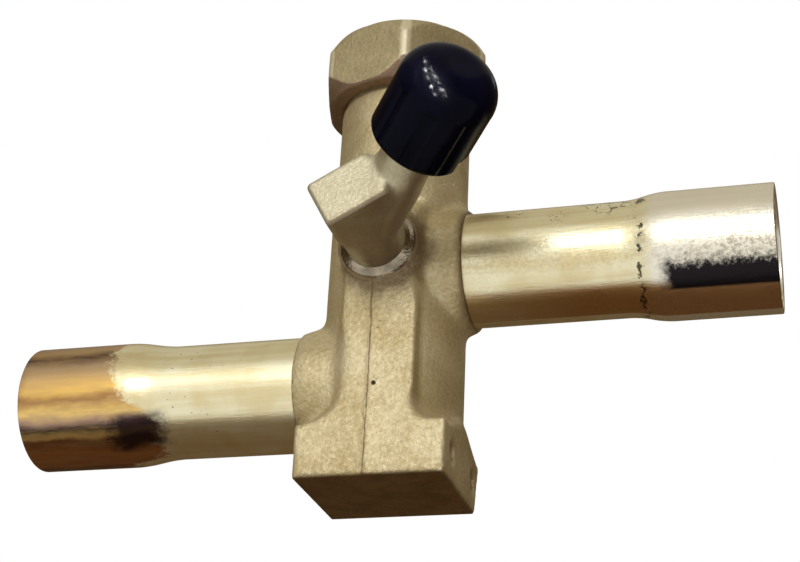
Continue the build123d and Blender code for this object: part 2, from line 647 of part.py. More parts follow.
# ======================================================================================
# plastic cap and seal on the charging port
# ======================================================================================
with BuildPart() as access_cap:
    with BuildSketch(neck_section):
        Polygon((0, port_cap_start), (port_cap_radius, port_cap_start),
                (port_cap_radius, port_cap_start + port_cap_length),
                (0, port_cap_start + port_cap_length), align=None)
        fillet(vertices().sort_by(lambda v: v.X + v.Y)[-1], port_cap_dome)
        fillet(vertices().sort_by(lambda v: v.X - v.Y)[-1], port_cap_edge)
    revolve(axis=neck_axis)
    # shallow finger flutes round the skirt
    with Locations(neck_plane.offset(port_cap_start - 1)):
        with PolarLocations(port_cap_radius - port_cap_flute_depth + port_cap_flute_radius, port_cap_flutes,
                            start_angle=port_cap_flute_phase):
            Cylinder(port_cap_flute_radius, port_cap_length - port_cap_dome + 1,
                     align=(Align.CENTER, Align.CENTER, Align.MIN), mode=Mode.SUBTRACT)
    with BuildSketch(neck_plane.offset(port_cap_start)):
        with PolarLocations(port_cap_radius, 1, start_angle=port_cap_notch_angle):
            Rectangle(2 * port_cap_notch_depth, port_cap_notch_width)
    extrude(amount=port_cap_notch_height, mode=Mode.SUBTRACT)
    with BuildSketch(neck_section):
        Polygon((0, port_cap_start - 1), (port_thread_radius + thread_gap + thread_lead_in + 1, port_cap_start - 1),
                (port_thread_radius + thread_gap, port_cap_start + thread_lead_in),
                (port_thread_radius + thread_gap, port_roof_start), (0, port_roof_start), align=None)
    revolve(axis=neck_axis, mode=Mode.SUBTRACT)
access_cap.part.label = "access_cap"
export_step(access_cap.part, "parts/access_cap.step")

with BuildPart() as access_cap_seal:
    with BuildSketch(neck_plane.offset(port_seal_start)):
        Circle(port_thread_radius)
        Circle(port_seal_hole, mode=Mode.SUBTRACT)
    extrude(amount=port_seal_thickness)
access_cap_seal.part.label = "access_cap_seal"
export_step(access_cap_seal.part, "parts/access_cap_seal.step")
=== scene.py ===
import math

import bmesh
import bpy
import numpy as np
from bpy.props import FloatProperty, FloatVectorProperty, PointerProperty
from mathutils import Matrix, Vector


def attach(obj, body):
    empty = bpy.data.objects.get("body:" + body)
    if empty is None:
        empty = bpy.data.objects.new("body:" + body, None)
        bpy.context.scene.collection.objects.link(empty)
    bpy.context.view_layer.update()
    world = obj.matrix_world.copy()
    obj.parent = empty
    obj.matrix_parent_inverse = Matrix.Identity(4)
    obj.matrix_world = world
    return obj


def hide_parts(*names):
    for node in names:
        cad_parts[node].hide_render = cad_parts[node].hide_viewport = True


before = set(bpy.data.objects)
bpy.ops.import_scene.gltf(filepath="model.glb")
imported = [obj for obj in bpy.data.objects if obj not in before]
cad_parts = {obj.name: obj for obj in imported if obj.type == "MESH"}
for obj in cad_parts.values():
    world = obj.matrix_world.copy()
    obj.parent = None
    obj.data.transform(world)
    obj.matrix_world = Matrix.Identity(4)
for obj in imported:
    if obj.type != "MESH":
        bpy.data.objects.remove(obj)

bl_info = {
    "name": "Refrigerant Service Valve",
    "version": (1, 0, 0),
    "blender": (4, 5, 0),
    "location": "View3D > Sidebar > Valve",
    "description": "Dresses a forged brass refrigerant service valve and sets it in a small studio",
    "category": "Object",
}

# ---------------------------------------------------------------------------------------
# places taken from the valve itself, in millimetres
# ---------------------------------------------------------------------------------------
LOWER_AXIS_Z = 21.8
UPPER_AXIS_Z = 45.7
PORT_TURN = math.radians(28.6)
PORT_BEND = math.radians(43.2)
BEND_POINT = Vector((0.0, -22.0, UPPER_AXIS_Z))
NECK_DIRECTION = Vector((math.sin(PORT_BEND) * math.cos(PORT_TURN), -math.cos(PORT_BEND),
                         math.sin(PORT_BEND) * math.sin(PORT_TURN)))
NECK_SIDE = Vector((-math.sin(PORT_TURN), 0.0, math.cos(PORT_TURN)))
CAP_THREAD_PITCH = 1.5
PORT_THREAD_PITCH = 1.27
LOWER_SEAT_X, LOWER_END_X = -8.84, -72.4
UPPER_SEAT_X, UPPER_END_X = 10.94, 73.1
LOWER_SWAGE, UPPER_SWAGE = 22.2, 22.6
LOWER_CONE, UPPER_CONE = 5.0, 3.0


# ---------------------------------------------------------------------------------------
# settings
# ---------------------------------------------------------------------------------------
def colour(name, words, value):
    return FloatVectorProperty(name=name, description=words, default=value, size=3,
                               subtype="COLOR", min=0.0, max=1.0)


class ValveFinishes(bpy.types.PropertyGroup):
    """Colours and finishes of the valve's metals, plastics and seals."""
    forging_pale: colour("Forging, pale", "Lightest brass on the sand-textured forging",
                         (0.70, 0.60, 0.37))
    forging_deep: colour("Forging, deep", "Darkest brass on the sand-textured forging",
                         (0.50, 0.39, 0.185))
    # this brown also serves as the painted shade under the foot and under the elbow
    forging_stain_and_painted_shade: colour("Forging, stain", "Brown stain left round the brazed joints",
                          (0.16, 0.095, 0.045))
    cap_pale: colour("Cap, pale", "Lightest olive brass on the hexagon cap", (0.55, 0.46, 0.26))
    cap_deep: colour("Cap, deep", "Darkest olive brass on the hexagon cap", (0.38, 0.30, 0.155))
    # the bright corners are also painted highlights
    cap_rub_and_highlight: colour("Cap, rubbed", "Bright brass at the rubbed corners", (0.76, 0.68, 0.46))
    elbow_pale: colour("Elbow, pale", "Fine brass of the port elbow", (0.58, 0.53, 0.36))
    elbow_deep: colour("Elbow, deep", "Deeper brass of the port elbow", (0.47, 0.41, 0.26))
    tube_pale: colour("Tube, pale", "Satin brass of the solder tubes", (0.88, 0.83, 0.58))
    tube_deep: colour("Tube, deep", "Deeper brass of the solder tubes", (0.74, 0.62, 0.34))
    # these two colours also serve as painted reflections of dark surroundings on the tubes
    tint_and_reflection_brown: colour("Tint, brown", "Brown heat tint on the tubes", (0.20, 0.085, 0.03))
    scorch_and_reflection_black: colour("Tint, black", "Scorched patches on the tubes", (0.012, 0.009, 0.011))
    filler: colour("Filler", "Bright braze filler", (0.66, 0.62, 0.54))
    machined: colour("Machined brass", "Turned brass of the stem and the core", (0.76, 0.60, 0.27))
    cap_plastic: colour("Cap plastic", "Black moulded plastic", (0.0004, 0.0004, 0.0013))
    rubber: colour("Rubber", "Black seals", (0.015, 0.015, 0.015))
    white_seal: colour("White seal", "Fluoroplastic rings", (0.80, 0.80, 0.77))
    washer: colour("Washer", "Fibre washer under the hexagon cap", (0.42, 0.16, 0.075))
    spring: colour("Spring wire", "Bright spring steel", (0.55, 0.55, 0.56))
    body_mesh: FloatProperty(name="Body mesh", description="Size of the body's faces",
                             default=0.00042, min=0.0003, unit="LENGTH")
    cap_mesh: FloatProperty(name="Cap mesh", description="Size of the hexagon cap's faces",
                            default=0.00032, min=0.0002, unit="LENGTH")
    elbow_mesh: FloatProperty(name="Elbow mesh", description="Size of the elbow's faces",
                              default=0.00024, min=0.00015, unit="LENGTH")
    grain: FloatProperty(name="Sand grain", description="Grain size of the forging's texture",
                         default=0.00042, min=0.0001, max=0.002, unit="LENGTH")
    grain_depth: FloatProperty(name="Sand depth", description="Depth of the forging's texture",
                               default=0.00015, min=0.0, max=0.0005, unit="LENGTH")


class ValveStudio(bpy.types.PropertyGroup):
    """Lights, floor and camera."""
    floor_size: FloatProperty(name="Floor", description="Length of the floor's sides", default=6.0,
                              min=0.5, unit="LENGTH")
    floor_colour: colour("Floor colour", "Plain pale floor", (0.86, 0.86, 0.85))
    floor_mirror: FloatProperty(name="Floor mirrored", min=0.0, max=1.0, default=1.0, subtype="FACTOR",
                                description="How white the floor shows in the metal")
    low_card: colour("Low card", "Glow of the card below the valve", (0.12, 0.075, 0.04))
    side_card: colour("Side cards", "Glow of the cards to the right and the left",
                      (0.12, 0.08, 0.036))
    top_card: colour("Top card", "Glow of the card overhead", (0.56, 0.52, 0.42))
    key_power: FloatProperty(name="Key", description="Power of the large soft lamp, in watts",
                             default=2.5, min=0.0, unit="POWER")
    fill_power: FloatProperty(name="Fill", description="Power of the small front lamp, in watts",
                              default=0.4, min=0.0, unit="POWER")
    glint_power: FloatProperty(name="Glints", description="Power of each small lamp, in watts",
                               default=0.0136, min=0.0, unit="POWER")
    rim_power: FloatProperty(name="Rim", description="Power of the lamp behind, in watts",
                             default=0.6, min=0.0, unit="POWER")
    sky_level: FloatProperty(name="Sky", description="Level of the even light from all round",
                             default=0.145, min=0.0, max=1.0, subtype="FACTOR")
    lens: FloatProperty(name="Lens", description="Focal length of the camera", default=74.37,
                        min=20.0, subtype="DISTANCE_CAMERA")


# ---------------------------------------------------------------------------------------
# small helpers for node materials
# ---------------------------------------------------------------------------------------
class Recipe:
    """One node material, built a step at a time.  Coordinates are in millimetres."""

    def __init__(self, name):
        self.material = bpy.data.materials.new(name)
        self.material.use_nodes = True
        self.tree = self.material.node_tree
        self.shader = self.tree.nodes["Principled BSDF"]
        place = self.tree.nodes.new("ShaderNodeTexCoord")
        scale = self.tree.nodes.new("ShaderNodeVectorMath")
        scale.operation = "SCALE"
        scale.inputs["Scale"].default_value = 1000.0
        self.link(place.outputs["Object"], scale.inputs[0])
        self.place = scale.outputs[0]

    def link(self, source, target):
        self.tree.links.new(source, target)

    def feed(self, socket, value):
        if isinstance(value, bpy.types.NodeSocket):
            self.link(value, socket)
        elif hasattr(value, "__len__") and socket.type == "RGBA" and len(value) == 3:
            socket.default_value = (*value, 1.0)
        else:
            socket.default_value = value

    def set(self, **values):
        for name, value in values.items():
            self.feed(self.shader.inputs[name.replace("_", " ")], value)

    def sum(self, operation, a, b=0.0, c=None):
        node = self.tree.nodes.new("ShaderNodeMath")
        node.operation = operation
        self.feed(node.inputs[0], a)
        self.feed(node.inputs[1], b)
        if c is not None:
            self.feed(node.inputs[2], c)
        return node.outputs[0]

    def split(self, vector=None):
        node = self.tree.nodes.new("ShaderNodeSeparateXYZ")
        self.link(vector or self.place, node.inputs[0])
        return node.outputs[0], node.outputs[1], node.outputs[2]

    def stretched(self, scale):
        node = self.tree.nodes.new("ShaderNodeMapping")
        self.link(self.place, node.inputs["Vector"])
        node.inputs["Scale"].default_value = scale
        return node.outputs[0]

    def noise(self, scale, detail=3.0, rough=0.5, warp=0.0, vector=None):
        node = self.tree.nodes.new("ShaderNodeTexNoise")
        self.link(vector or self.place, node.inputs["Vector"])
        for name, value in (("Scale", scale), ("Detail", detail), ("Roughness", rough),
                            ("Distortion", warp)):
            node.inputs[name].default_value = value
        return node.outputs["Fac"]

    def cells(self, scale, feature="F1", vector=None):
        node = self.tree.nodes.new("ShaderNodeTexVoronoi")
        node.feature = feature
        self.link(vector or self.place, node.inputs["Vector"])
        node.inputs["Scale"].default_value = scale
        return node.outputs["Distance"]

    def band(self, value, low, high, out_low=0.0, out_high=1.0):
        node = self.tree.nodes.new("ShaderNodeMapRange")
        node.interpolation_type = "SMOOTHSTEP"
        self.feed(node.inputs["Value"], value)
        for name, number in (("From Min", low), ("From Max", high), ("To Min", out_low),
                             ("To Max", out_high)):
            node.inputs[name].default_value = number
        return node.outputs[0]

    def mix(self, factor, a, b):
        node = self.tree.nodes.new("ShaderNodeMix")
        node.data_type = "RGBA"
        self.feed(node.inputs[0], factor)
        self.feed(node.inputs[6], a)
        self.feed(node.inputs[7], b)
        return node.outputs[2]

    def ramp(self, value, stops):
        node = self.tree.nodes.new("ShaderNodeValToRGB")
        self.feed(node.inputs[0], value)
        row = node.color_ramp.elements
        while len(row) < len(stops):
            row.new(1.0)
        for stop, (position, tone) in zip(row, stops):
            stop.position = position
            stop.color = (*tone, 1.0)
        return node.outputs[0]

    def bump(self, height, depth_mm, strength=1.0):
        node = self.tree.nodes.new("ShaderNodeBump")
        node.inputs["Strength"].default_value = strength
        node.inputs["Distance"].default_value = depth_mm / 1000.0
        self.feed(node.inputs["Height"], height)
        return node.outputs[0]

    def distance(self, centre):
        node = self.tree.nodes.new("ShaderNodeVectorMath")
        node.operation = "DISTANCE"
        self.link(self.place, node.inputs[0])
        node.inputs[1].default_value = centre
        return node.outputs["Value"]

    def along(self, start, way):
        """How far each point lies from the start, measured along the way."""
        node = self.tree.nodes.new("ShaderNodeVectorMath")
        node.operation = "DOT_PRODUCT"
        self.link(self.place, node.inputs[0])
        node.inputs[1].default_value = tuple(way)
        return self.sum("SUBTRACT", node.outputs["Value"], start.dot(way))

    def round_angle(self, axis_z):
        """Angle round a tube along X: 0 at the top, 0.25 at the front, 0.5 at the bottom."""
        _, y, z = self.split()
        forward = self.sum("MULTIPLY", y, -1.0)
        up = self.sum("SUBTRACT", z, axis_z)
        turn = self.sum("ARCTAN2", forward, up)
        return self.sum("DIVIDE", turn, 2 * math.pi)


def wear(piece, recipe):
    """Puts one material on the whole of a piece."""
    piece.data.materials.clear()
    piece.data.materials.append(recipe.material)
    return piece


def dress(recipe, *names):
    for name in names:
        wear(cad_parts[name], recipe)


# ---------------------------------------------------------------------------------------
# forged surfaces
# ---------------------------------------------------------------------------------------
def baked(thing):
    """Replaces a piece's mesh by what its modifiers make of it."""
    graph = bpy.context.evaluated_depsgraph_get()
    made = bpy.data.meshes.new_from_object(thing.evaluated_get(graph))
    thing.modifiers.clear()
    thing.data = made
    return thing


def corner_weights(mesh, reach):
    """How much each point of a mesh lies in an inside corner, spread over its neighbours."""
    count = len(mesh.vertices)
    points = np.empty(count * 3)
    mesh.vertices.foreach_get("co", points)
    points = points.reshape(-1, 3)
    normals = np.empty(count * 3)
    mesh.vertices.foreach_get("normal", normals)
    normals = normals.reshape(-1, 3)
    edges = np.empty(len(mesh.edges) * 2, dtype=np.int64)
    mesh.edges.foreach_get("vertices", edges)
    ends = edges.reshape(-1, 2)
    a = np.concatenate([ends[:, 0], ends[:, 1]])
    b = np.concatenate([ends[:, 1], ends[:, 0]])
    share = np.bincount(a, minlength=count).clip(1)

    def neighbours(values):
        return np.bincount(a, weights=values[b], minlength=count) / share

    spacing = np.median(np.linalg.norm(points[ends[:, 0]] - points[ends[:, 1]], axis=1))
    hollow = sum((neighbours(points[:, k]) - points[:, k]) * normals[:, k] for k in range(3))
    hollow = neighbours(hollow / spacing)
    weights = np.clip(hollow / 0.10 - 0.5, 0.0, 1.0)
    for _ in range(reach):
        wider = np.copy(weights)
        np.maximum.at(wider, a, weights[b] * 0.97)
        weights = wider
    for _ in range(4):
        weights = neighbours(weights)
    return points, weights


def add_weights(thing, name, weights):
    group = thing.vertex_groups.new(name=name)
    steps = np.rint(weights * 10).astype(int)
    for step in range(1, 11):
        chosen = np.flatnonzero(steps == step)
        if len(chosen):
            group.add(chosen.tolist(), step / 10, "REPLACE")
    return group.name


def forged_copy(name, node, voxel, machined, reach, fill_rounds, ease_rounds, melted=()):
    """A finely meshed copy of a forging whose inside corners are filled and whose edges are
    eased, while its machined bores keep their true surface.  Round each melted spot, given
    by its centre and radius, steps flow into one another."""
    mesh = bpy.data.meshes.new(name)
    shape = bmesh.new()
    shape.from_mesh(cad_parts[node].data)
    bmesh.ops.remove_doubles(shape, verts=shape.verts, dist=1e-6)
    shape.to_mesh(mesh)
    shape.free()
    thing = bpy.data.objects.new(name, mesh)
    bpy.context.scene.collection.objects.link(thing)
    skin = thing.modifiers.new("skin", "REMESH")
    skin.mode = "VOXEL"
    skin.voxel_size = voxel
    skin.use_smooth_shade = True
    baked(thing)
    points, corners = corner_weights(thing.data, reach)
    exact = machined(points * 1000.0)
    for centre, radius in melted:
        away = np.linalg.norm((points * 1000.0 - np.array(centre)) / radius, axis=1)
        corners = np.maximum(corners, np.clip(1.6 - 1.6 * away, 0.0, 1.0))
    groups = [add_weights(thing, "corners", corners * (1 - exact)),
              add_weights(thing, "forged", 1 - exact), add_weights(thing, "machined", exact)]
    fill = thing.modifiers.new("fill", "SMOOTH")
    fill.factor, fill.iterations, fill.vertex_group = 0.5, fill_rounds, groups[0]
    ease = thing.modifiers.new("ease", "SMOOTH")
    ease.factor, ease.iterations, ease.vertex_group = 0.5, ease_rounds, groups[1]
    hold = thing.modifiers.new("hold", "SHRINKWRAP")
    hold.target, hold.vertex_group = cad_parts[node], groups[2]
    baked(thing)
    thing.vertex_groups.clear()
    for face in thing.data.polygons:
        face.use_smooth = True
    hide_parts(node)
    return thing


def tube_skin(name, node, axis_z, way, seat_x, end_x, swage_depth, cone):
    """A tube spun from its section, with a soft swage and rounded lips."""
    outer, bore, swage_outer, swage_bore = 11.11, 9.97, 12.26, 11.16
    step = end_x - way * swage_depth
    start = step - way * cone
    section = [(seat_x, bore), (seat_x, outer), (start - way * 0.8, outer),
               (step + way * 0.8, swage_outer), (end_x, swage_outer), (end_x, swage_bore),
               (step + way * 0.8, swage_bore), (start - way * 0.8, bore)]
    shape = bmesh.new()
    ring = [shape.verts.new((x / 1000.0, 0.0, (axis_z + r) / 1000.0)) for x, r in section]
    for first, second in zip(ring, ring[1:] + ring[:1]):
        shape.edges.new((first, second))
    for corners, width in (((2, 3, 6, 7), 0.0019), ((4, 5), 0.0003), ((0, 1), 0.0002)):
        bmesh.ops.bevel(shape, geom=[ring[k] for k in corners], offset=width, segments=6,
                        profile=0.5, affect="VERTICES", material=-1)
    lengths = [edge for edge in shape.edges if edge.calc_length() > 0.004]
    bmesh.ops.subdivide_edges(shape, edges=lengths, cuts=10)
    bmesh.ops.spin(shape, geom=shape.verts[:] + shape.edges[:], cent=(0, 0, axis_z / 1000.0),
                   axis=(1, 0, 0), dvec=(0, 0, 0), angle=2 * math.pi, steps=128,
                   use_merge=True, use_duplicate=False)
    bmesh.ops.remove_doubles(shape, verts=shape.verts, dist=1e-6)
    bmesh.ops.recalc_face_normals(shape, faces=shape.faces)
    mesh = bpy.data.meshes.new(name)
    shape.to_mesh(mesh)
    shape.free()
    for face in mesh.polygons:
        face.use_smooth = True
    thing = bpy.data.objects.new(name, mesh)
    bpy.context.scene.collection.objects.link(thing)
    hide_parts(node)
    return thing


def within(points, start, way, radius, low=-1e9, high=1e9):
    """1 for each point inside a cylinder that runs from low to high along its axis."""
    away = points - np.array(start)
    along = away @ np.array(way)
    off = np.linalg.norm(away - np.outer(along, np.array(way)), axis=1)
    return (off < radius) & (along > low) & (along < high)


def body_machining(points):
    """The bores, sockets and faces of the body that a tool has cut."""
    inside = within(points, (0, 0, 0), (0, 0, 1), 12.3, 9.0, 89.5)
    inside |= within(points, (0, 0, 0), (0, 0, 1), 13.0, 82.3)
    inside |= within(points, (0, 0, LOWER_AXIS_Z), (-1, 0, 0), 11.5, 8.0)
    inside |= within(points, (0, 0, UPPER_AXIS_Z), (1, 0, 0), 11.6, 9.0)
    inside |= within(points, (0, 0, UPPER_AXIS_Z), (0, -1, 0), 8.1, 14.5)
    inside |= within(points, (0, 0, UPPER_AXIS_Z), (0, -1, 0), 5.2, 9.0)
    for y in (-7.8, 8.3):
        inside |= within(points, (0, y, 6.0), (1, 0, 0), 2.45, 4.0)
    return inside.astype(float)


def elbow_machining(points):
    """The bores and the threaded end of the elbow."""
    axis = tuple(NECK_DIRECTION)
    inside = within(points, tuple(BEND_POINT), axis, 3.4, 1.0)
    inside |= within(points, tuple(BEND_POINT), axis, 9.0, 21.0)
    inside |= within(points, (0, 0, UPPER_AXIS_Z), (0, -1, 0), 9.0, 0.0, 16.5)
    inside |= within(points, (0, 0, UPPER_AXIS_Z), (0, -1, 0), 2.4, 0.0, 24.0)
    return inside.astype(float)


def cap_machining(points):
    """The bore of the hexagon cap and its flat underside."""
    inside = within(points, (0, 0, 0), (0, 0, 1), 13.6, 80.0, 93.5)
    return inside.astype(float)


# ---------------------------------------------------------------------------------------
# materials
# ---------------------------------------------------------------------------------------
def forging_metal(name, pale, deep, finishes, metal=0.55, roughness=0.50, grain_scale=1.0,
                  depth_scale=1.0):
    """Sand-textured forged brass: mottled colour, fine grain and a few larger pits."""
    r = Recipe(name)
    per_mm = 0.001 / (finishes.grain * grain_scale)
    cloud = r.noise(0.09, 4.0, 0.6, 0.4)
    speck = r.noise(per_mm * 0.55, 3.0, 0.7)
    tone = r.sum("MULTIPLY_ADD", cloud, 0.75, r.sum("MULTIPLY", speck, 0.55))
    tone = r.band(tone, 0.42, 0.86)
    base = r.mix(tone, tuple(deep), tuple(pale))
    grain = r.noise(per_mm, 4.0, 0.62)
    dimple = r.cells(per_mm * 0.42)
    pit = r.band(r.noise(0.55, 2.0, 0.5), 0.69, 0.80)
    height = r.sum("MULTIPLY_ADD", dimple, 0.55, grain)
    height = r.sum("SUBTRACT", height, r.sum("MULTIPLY", pit, 1.4))
    r.grain_height = height
    sheen = r.band(speck, 0.3, 0.7, roughness + 0.07, roughness - 0.07)
    r.set(Base_Color=base, Metallic=metal, Roughness=sheen,
          Normal=r.bump(height, finishes.grain_depth * 1000.0 * depth_scale, 0.85))
    r.base = base
    return r


def body_metal(finishes):
    """Forging of the body, browned round the joints that were brazed."""
    r = forging_metal("forged_body_brass", finishes.forging_pale, finishes.forging_deep, finishes)
    ragged = r.noise(0.35, 4.0, 0.65)
    cloudy = r.noise(0.16, 3.0, 0.6)
    # round the charging port
    near_port = r.distance((0.6, -14.5, UPPER_AXIS_Z - 0.6))
    near_port = r.sum("MULTIPLY_ADD", ragged, 5.0, near_port)
    port_burn = r.band(near_port, 13.6, 10.0)
    # round the upper tube
    x, y, z = r.split()
    edge = r.sum("MULTIPLY_ADD", ragged, 2.0, x)
    tube_burn = r.band(edge, 14.6, 16.6)
    tube_burn = r.sum("MULTIPLY", tube_burn, r.band(z, 27.0, 33.0))
    burn = r.sum("MAXIMUM", r.sum("MULTIPLY", port_burn, 0.8), r.sum("MULTIPLY", tube_burn, 0.7))
    base = r.mix(burn, r.base, tuple(finishes.forging_stain_and_painted_shade))
    # the parting line left by the dies: a thin dark line down the rib
    line = r.sum("ABSOLUTE", r.sum("ADD", x, r.sum("MULTIPLY_ADD", r.noise(0.25, 2.0), 0.9, 0.25)))
    worn = r.band(r.noise(0.8, 3.0), 0.30, 0.55, 0.35, 1.0)
    line = r.sum("MULTIPLY", r.band(line, 0.24, 0.06), worn)
    line = r.sum("MULTIPLY", line, r.band(y, -13.8, -14.1))
    line = r.sum("MULTIPLY", line, r.band(z, 41.0, 36.0))
    base = r.mix(r.sum("MULTIPLY", line, 0.55), base, tuple(finishes.forging_stain_and_painted_shade))
    # painted shade: the foot's underside and its lowest half millimetre are darkened to a mottled brown
    under = r.band(z, 0.5, 0.1)
    base = r.mix(r.sum("MULTIPLY", under, r.band(cloudy, 0.3, 0.7, 0.45, 0.75)), base,
                 tuple(finishes.forging_stain_and_painted_shade))
    # one small pit in the rib
    pit = r.band(r.distance((0.5, -14.4, 17.5)), 0.48, 0.25)
    base = r.mix(pit, base, (0.03, 0.018, 0.008))
    height = r.sum("SUBTRACT", r.grain_height, r.sum("MULTIPLY", line, 0.8))
    height = r.sum("SUBTRACT", height, r.sum("MULTIPLY", pit, 5.0))
    # the cap's thread round the top
    turn = r.sum("MULTIPLY", r.sum("ARCTAN2", y, x), CAP_THREAD_PITCH / (2.0 * math.pi))
    ridge = r.sum("PINGPONG", r.sum("SUBTRACT", z, turn), CAP_THREAD_PITCH / 2)
    ridge = r.sum("MULTIPLY", ridge, r.band(z, 82.0, 82.4))
    ridge = r.sum("MULTIPLY", ridge, r.band(z, 90.4, 90.0))
    outer = r.sum("POWER", r.sum("ADD", r.sum("MULTIPLY", x, x), r.sum("MULTIPLY", y, y)), 0.5)
    ridge = r.sum("MULTIPLY", ridge, r.band(outer, 12.2, 12.4))
    height = r.sum("MULTIPLY_ADD", ridge, 4.0, height)
    r.set(Base_Color=base, Normal=r.bump(height, finishes.grain_depth * 1000.0, 0.85))
    return r


def painted_shade_below(r, finishes):
    """Painted shade: the underside of the elbow is darkened to brown."""
    height = r.along(BEND_POINT, NECK_SIDE)
    height = r.sum("MULTIPLY_ADD", r.noise(0.3, 3.0), 1.2, height)
    brown = r.band(height, -3.0, -4.6)
    r.set(Base_Color=r.mix(r.sum("MULTIPLY", brown, 0.8), r.base, tuple(finishes.forging_stain_and_painted_shade)))


def spigot_thread(r, finishes):
    """The plastic cap's thread round the end of the port."""
    along = r.along(BEND_POINT, NECK_DIRECTION)
    ridge = r.sum("PINGPONG", along, PORT_THREAD_PITCH / 2)
    ridge = r.sum("MULTIPLY", ridge, r.band(along, 21.6, 21.9))
    height = r.sum("MULTIPLY_ADD", ridge, 9.0, r.grain_height)
    r.set(Normal=r.bump(height, finishes.grain_depth * 350.0, 0.85))


def bright_corners(r, finishes):
    """The six corners of the hexagon are rubbed bright and brightened further as painted highlights,
    and the faces of its lower cone that turn downwards are darkened as painted shade.
    """
    x, y, z = r.split()
    # rubbed corners, painted brighter as highlights
    turn = r.sum("SUBTRACT", r.sum("ARCTAN2", x, r.sum("MULTIPLY", y, -1.0)), math.radians(13.0))
    off = r.sum("PINGPONG", turn, math.radians(30.0))
    rub_and_highlight = r.band(r.sum("MULTIPLY_ADD", r.noise(0.5, 3.0), 0.02, off), 0.088, 0.052)
    rub_and_highlight = r.sum("MULTIPLY", rub_and_highlight, r.band(z, 83.5, 85.5))
    base = r.mix(rub_and_highlight, r.base, tuple(finishes.cap_rub_and_highlight))
    # painted shade: faces that turn downwards, found by their normal, are darkened
    facing = r.tree.nodes.new("ShaderNodeTexCoord")
    slope = r.split(facing.outputs["Normal"])[2]
    dark = r.sum("MULTIPLY", r.band(slope, -0.12, -0.34), r.band(z, 88.5, 87.0))
    base = r.mix(r.sum("MULTIPLY", dark, 0.8), base, (0.17, 0.085, 0.055))
    r.set(Base_Color=base)


def tube_metal(name, finishes):
    """Satin drawn brass with faint marks along the tube."""
    r = Recipe(name)
    streak = r.noise(0.6, 3.0, 0.6, vector=r.stretched((0.05, 1.2, 1.2)))
    cloud = r.noise(0.11, 3.0, 0.55, 0.3)
    tone = r.sum("MULTIPLY_ADD", streak, 0.5, r.sum("MULTIPLY", cloud, 0.6))
    tone = r.band(tone, 0.36, 0.74)
    r.base = r.mix(tone, tuple(finishes.tube_deep), tuple(finishes.tube_pale))
    r.fleck = r.noise(2.6, 3.0, 0.6)
    r.scratch = r.noise(3.0, 2.0, 0.5, vector=r.stretched((0.12, 1.0, 1.0)))
    r.set(Base_Color=r.base, Metallic=0.85, Roughness=r.band(cloud, 0.3, 0.7, 0.36, 0.26),
          Normal=r.bump(r.sum("MULTIPLY_ADD", r.fleck, 0.6, r.scratch), 0.035, 0.8))
    return r


def lower_tube_metal(finishes):
    """The lower tube: long streaks of heat tint over the swage, mixed with painted reflections that
    follow the angle round the tube, black at its lower front.
    """
    r = tube_metal("lower_tube_brass", finishes)
    x = r.split()[0]
    angle = r.round_angle(LOWER_AXIS_Z)
    wander = r.noise(0.16, 3.0, 0.6, vector=r.stretched((0.6, 1.4, 1.4)))
    turn = r.sum("MULTIPLY_ADD", r.sum("SUBTRACT", wander, 0.5), 0.05, angle)
    brown, black = tuple(finishes.tint_and_reflection_brown), tuple(finishes.scorch_and_reflection_black)
    pink = (0.42, 0.27, 0.20)
    tan = (0.52, 0.34, 0.14)
    # heat tint and painted reflections: the colours follow the angle round the tube, orange brown
    # towards the bottom
    tint_and_painted_reflections = r.ramp(turn, [(0.02, brown), (0.09, pink), (0.135, tan), (0.162, (0.12, 0.06, 0.045)),
                            (0.195, (0.56, 0.40, 0.24)), (0.245, (0.60, 0.38, 0.13)),
                            (0.272, (0.80, 0.50, 0.13)), (0.292, (0.38, 0.19, 0.07)),
                            (0.318, (0.90, 0.62, 0.20)), (0.338, pink),
                            (0.362, black), (0.385, (0.70, 0.46, 0.15)), (0.398, brown),
                            (0.43, (0.47, 0.20, 0.07)), (0.54, (0.36, 0.15, 0.05))])
    fine = r.noise(0.9, 4.0, 0.7, vector=r.stretched((0.13, 1.3, 1.3)))
    tint_and_painted_reflections = r.mix(r.band(fine, 0.35, 0.75, 0.0, 0.55), tint_and_painted_reflections, tan)
    # how far the tint runs along the tube: further at the lower front than at the top
    reach = r.ramp(angle, [(0.0, (0.42,) * 3), (0.14, (0.30,) * 3), (0.22, (0.34,) * 3),
                           (0.30, (0.52,) * 3), (0.36, (0.86,) * 3), (0.44, (0.80,) * 3),
                           (0.5, (0.75,) * 3)])
    limit = r.sum("MULTIPLY_ADD", reach, 18.0, -59.0)
    ragged = r.sum("MULTIPLY_ADD", r.noise(0.5, 5.0, 0.75), 11.0, r.sum("SUBTRACT", x, 5.5))
    tinted = r.band(r.sum("SUBTRACT", ragged, limit), 1.5, -1.5)
    base = r.mix(tinted, r.base, tint_and_painted_reflections)
    # the scorched patch
    front = r.band(r.sum("ABSOLUTE", r.sum("SUBTRACT", turn, 0.386)), 0.072, 0.034)
    along = r.sum("ABSOLUTE", r.sum("ADD", x, 48.2))
    along = r.sum("MULTIPLY_ADD", r.noise(0.6, 4.0, 0.7), 6.0, along)
    scorch = r.sum("MULTIPLY", front, r.band(along, 10.8, 5.4))
    base = r.mix(r.sum("MULTIPLY", scorch, 0.93), base, (0.022, 0.009, 0.012))
    # a few dark flecks beyond the tint
    spots = r.band(r.cells(0.75), 0.16, 0.08)
    where = r.band(r.sum("ABSOLUTE", r.sum("ADD", x, 37.0)), 8.0, 3.0)
    spots = r.sum("MULTIPLY", spots, r.sum("MULTIPLY", where, r.band(r.noise(0.22), 0.45, 0.6)))
    base = r.mix(r.sum("MULTIPLY", spots, 0.8), base, brown)
    r.set(Base_Color=base)
    r.feed(r.shader.inputs["Roughness"], r.band(tinted, 0.0, 1.0, 0.30, 0.40))
    return r


